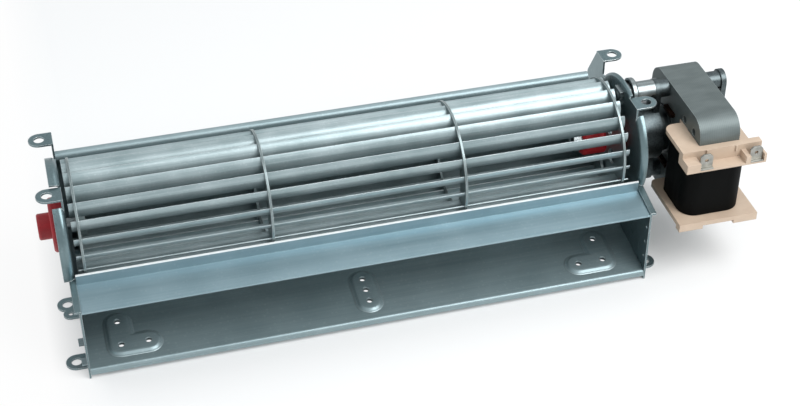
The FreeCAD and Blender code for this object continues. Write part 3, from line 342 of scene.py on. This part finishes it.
# A wave texture of this scale has one band in each unit of length.
one_band = math.pi / 10
stain_mm = (16, 5, 5)
stain_share = 0.88
core_steel, core_shader = new_material("punched_electrical_steel_stack", 0.7)
stack = add_node(core_steel, "ShaderNodeTexWave", {"wave_type": "BANDS", "bands_direction": "X"}, {
    "Vector": in_mm(core_steel, lamination_mm, lamination_mm, lamination_mm), "Scale": one_band,
    "Distortion": 0.6, "Detail": 2, "Detail Scale": 0.3})
stain = add_node(core_steel, "ShaderNodeTexNoise", None, {
    "Vector": in_mm(core_steel, *stain_mm), "Scale": 1.0, "Detail": 5, "Roughness": 0.62})
stained = add_node(core_steel, "ShaderNodeMix", {"data_type": "FLOAT"}, {
    "Factor": stain_share, "A": stack.outputs["Fac"], "B": stain.outputs[0]})
core_colour = add_node(core_steel, "ShaderNodeValToRGB", None, {0: stained.outputs[0]},
                       stops=[(0.3, "616a6a"), (0.7, "778080")])
core_gloss = add_node(core_steel, "ShaderNodeMapRange", None, {
    "Value": stain.outputs[0], "From Min": 0.3, "From Max": 0.7, "To Min": 0.5, "To Max": 0.6})
# Its edges get a painted highlight.
finish(core_steel, core_shader, core_colour.outputs[0], core_gloss.outputs[0], stack.outputs["Fac"],
       relief_mm=0.004, edge_mm=0.4, painted_edge_colour="a3abab")
dress(core_steel, "stator_core")

# Rotor.
# The real one is the same sheet stacked on the shaft and ground round, with an aluminium cage cast in.
rotor_steel = turned_metal("ground_rotor_stack", dark="4c5455", light="6a7273", rough=0.34,
                           ring_mm=0.6, relief_mm=0.001)
dress(rotor_steel, "motor_rotor")

# Shading rings.
# The real ones are closed turns of bare copper bar pressed through the pole tips.
# Drawn copper, dulled brown by the varnish bath.
copper = turned_metal("varnished_drawn_copper", dark="3a2519", light="523526", rough=0.34,
                      ring_mm=1.5, relief_mm=0.0005)
dress(copper, "shading_ring_top", "shading_ring_bottom")

# Bobbin.
# The real one is natural glass filled nylon, injection moulded, with the terminal tray on its front.
# A warm cream, a little uneven where the fibres flow, with soft edges.
cream_nylon = moulded("moulded_natural_nylon", dark="bca793", light="c4b09c", rough=0.5,
                      flow_mm=(11, 9, 9), relief_mm=0.005, edge_mm=0.35)
dress(cream_nylon, "bobbin")

# Coil.
# The real one is enamelled wire under two turns of black polyester tape, wound round the bobbin.
# The tape is smooth and nearly black, with shallow upright wrinkles where it passes the corners.
wrinkle_mm = (5, 5, 26)
tape, tape_shader = new_material("wound_black_polyester_tape")
wrinkle = add_node(tape, "ShaderNodeTexNoise", None, {
    "Vector": in_mm(tape, *wrinkle_mm), "Scale": 1.0, "Detail": 3, "Roughness": 0.5})
tape_colour = add_node(tape, "ShaderNodeValToRGB", None, {0: wrinkle.outputs[0]},
                       stops=[(0.3, "040505"), (0.7, "0a0b0b")])
tape_gloss = add_node(tape, "ShaderNodeMapRange", None, {
    "Value": wrinkle.outputs[0], "From Min": 0.3, "From Max": 0.7, "To Min": 0.5, "To Max": 0.64})
finish(tape, tape_shader, tape_colour.outputs[0], tape_gloss.outputs[0], wrinkle.outputs[0],
       relief_mm=0.15, edge_mm=0.5)
tape_shader.inputs["Specular IOR Level"].default_value = 0.06
dress(tape, "coil")

# Terminals.
# The real ones are 6.3 mm blade tabs punched from 0.8 mm brass and tinned.
# A grey, slightly mottled tin skin.
tinned_brass = porous_metal("tinned_punched_brass", dark="8b8b86", light="a7a6a0", rough=0.34,
                            pore_mm=2.5, relief_mm=0.002)
dress(tinned_brass, "terminal_left", "terminal_right")

# Floor of the studio.
# White paper that keeps the object's shadow. Seen by camera and mirror rays it partly glows white: evenly,
# which lifts the shadow a little, and as painted glow under the air mouth, so that the fixing holes there
# show white, and left of the fan, washing out the shadow there.
floor_reach = 4.0
floor_gap = 0.0002
floor_lift = 0.1
glow_lift = 0.8
mouth_half_length = 0.125
mouth_middle = 0.026
mouth_half_depth = 0.019
left_glow_from = -0.125
left_glow_to = -0.15
floor_mesh = bpy.data.meshes.new("floor")
floor_mesh.from_pydata([(-floor_reach, -floor_reach, 0), (floor_reach, -floor_reach, 0),
                        (floor_reach, floor_reach, 0), (-floor_reach, floor_reach, 0)], [], [(0, 1, 2, 3)])
floor = bpy.data.objects.new("floor", floor_mesh)
bpy.context.scene.collection.objects.link(floor)
floor.location.z = cad_box[0][2] - floor_gap
floor_paper, paper_shader = new_material("white_studio_paper")
paper_shader.inputs["Base Color"].default_value = linear("e8e8e8")
paper_shader.inputs["Roughness"].default_value = 0.9
paper_shader.inputs["Specular IOR Level"].default_value = 0.1
path = add_node(floor_paper, "ShaderNodeLightPath")
mirrored = add_node(floor_paper, "ShaderNodeMath", {"operation": "ADD"},
                    {0: path.outputs["Is Glossy Ray"], 1: path.outputs["Is Transmission Ray"]})
seen = add_node(floor_paper, "ShaderNodeMath", {"operation": "ADD", "use_clamp": True},
                {0: path.outputs["Is Camera Ray"], 1: mirrored.outputs[0]})
place = add_node(floor_paper, "ShaderNodeTexCoord")
spot = add_node(floor_paper, "ShaderNodeSeparateXYZ", None, {0: place.outputs["Object"]})
# Painted glow patch: a box under the air mouth, where the holes would show shadow.
under_x = add_node(floor_paper, "ShaderNodeMath", {"operation": "COMPARE"},
                   {0: spot.outputs["X"], 1: 0.0, 2: mouth_half_length})
under_y = add_node(floor_paper, "ShaderNodeMath", {"operation": "COMPARE"},
                   {0: spot.outputs["Y"], 1: cad_box[0][1] + mouth_middle, 2: mouth_half_depth})
under = add_node(floor_paper, "ShaderNodeMath", {"operation": "MULTIPLY"},
                 {0: under_x.outputs[0], 1: under_y.outputs[0]})
# Painted glow left of the fan, washing out the shadow there.
clear = add_node(floor_paper, "ShaderNodeMapRange", None, {
    "Value": spot.outputs["X"], "From Min": left_glow_from, "From Max": left_glow_to})
lit = add_node(floor_paper, "ShaderNodeMath", {"operation": "MAXIMUM"},
               {0: under.outputs[0], 1: clear.outputs[0]})
lift = add_node(floor_paper, "ShaderNodeMath", {"operation": "MULTIPLY_ADD"},
                {0: lit.outputs[0], 1: glow_lift, 2: floor_lift})
glow_share = add_node(floor_paper, "ShaderNodeMath", {"operation": "MULTIPLY"},
                      {0: seen.outputs[0], 1: lift.outputs[0]})
white = add_node(floor_paper, "ShaderNodeEmission", None, {"Strength": 1.0})
paper = add_node(floor_paper, "ShaderNodeMixShader", None,
                 {0: glow_share.outputs[0], 1: paper_shader.outputs[0], 2: white.outputs[0]})
paper_end = [node for node in floor_paper.node_tree.nodes if node.type == "OUTPUT_MATERIAL"][0]
floor_paper.node_tree.links.new(paper.outputs[0], paper_end.inputs["Surface"])
floor_mesh.materials.append(floor_paper)

# Light of the studio.
# A pale even surround, one large softbox above on the motor's side and two weak ones.
surround_colour = (0.94, 0.98, 1.0, 1.0)
surround_strength = 0.68
world = bpy.data.worlds.new("studio")
bpy.context.scene.world = world
world.use_nodes = True
surround = world.node_tree.nodes["Background"]
surround.inputs["Color"].default_value = surround_colour
surround.inputs["Strength"].default_value = surround_strength


def softbox(name, place, aim, width, height, power):
    """Flat softbox at a place, turned towards an aim point."""
    lamp = bpy.data.lights.new(name, "AREA")
    lamp.shape = "RECTANGLE"
    lamp.size = width
    lamp.size_y = height
    lamp.energy = power
    holder = bpy.data.objects.new(name, lamp)
    holder.location = place
    holder.rotation_euler = (Vector(aim) - Vector(place)).to_track_quat("-Z", "Y").to_euler()
    bpy.context.scene.collection.objects.link(holder)


softbox("right_lamp", place=(0.52, -0.58, 0.98), aim=(0.05, 0, 0.03), width=0.7, height=1.0, power=13.2)
softbox("back_lamp", place=(0.3, 0.6, 0.9), aim=(0.05, 0, 0.03), width=0.5, height=0.5, power=0.8)
softbox("left_lamp", place=(-0.55, 0.1, 0.9), aim=(0, 0, 0.03), width=0.5, height=0.5, power=1)

# Camera of the studio.
# It stands where the camera of the photograph stood, fitted to the edges of the end plates, mouth and rings.
camera_data = bpy.data.cameras.new("camera")
camera = bpy.data.objects.new("camera", camera_data)
bpy.context.scene.collection.objects.link(camera)
camera_data.sensor_width = 36
camera_data.lens = 72.33
azimuth = math.radians(-15.14)
elevation = math.radians(37.59)
camera_target = Vector((0.01095, -0.03235, 0.07094))
camera_distance = 0.7126
look_back = Vector((math.sin(azimuth) * math.cos(elevation),
                    -math.cos(azimuth) * math.cos(elevation), math.sin(elevation)))
camera.location = camera_target + look_back * camera_distance
camera.rotation_euler = (-look_back).to_track_quat("-Z", "Y").to_euler()
bpy.context.scene.camera = camera
bpy.context.scene.view_settings.view_transform = "Standard"
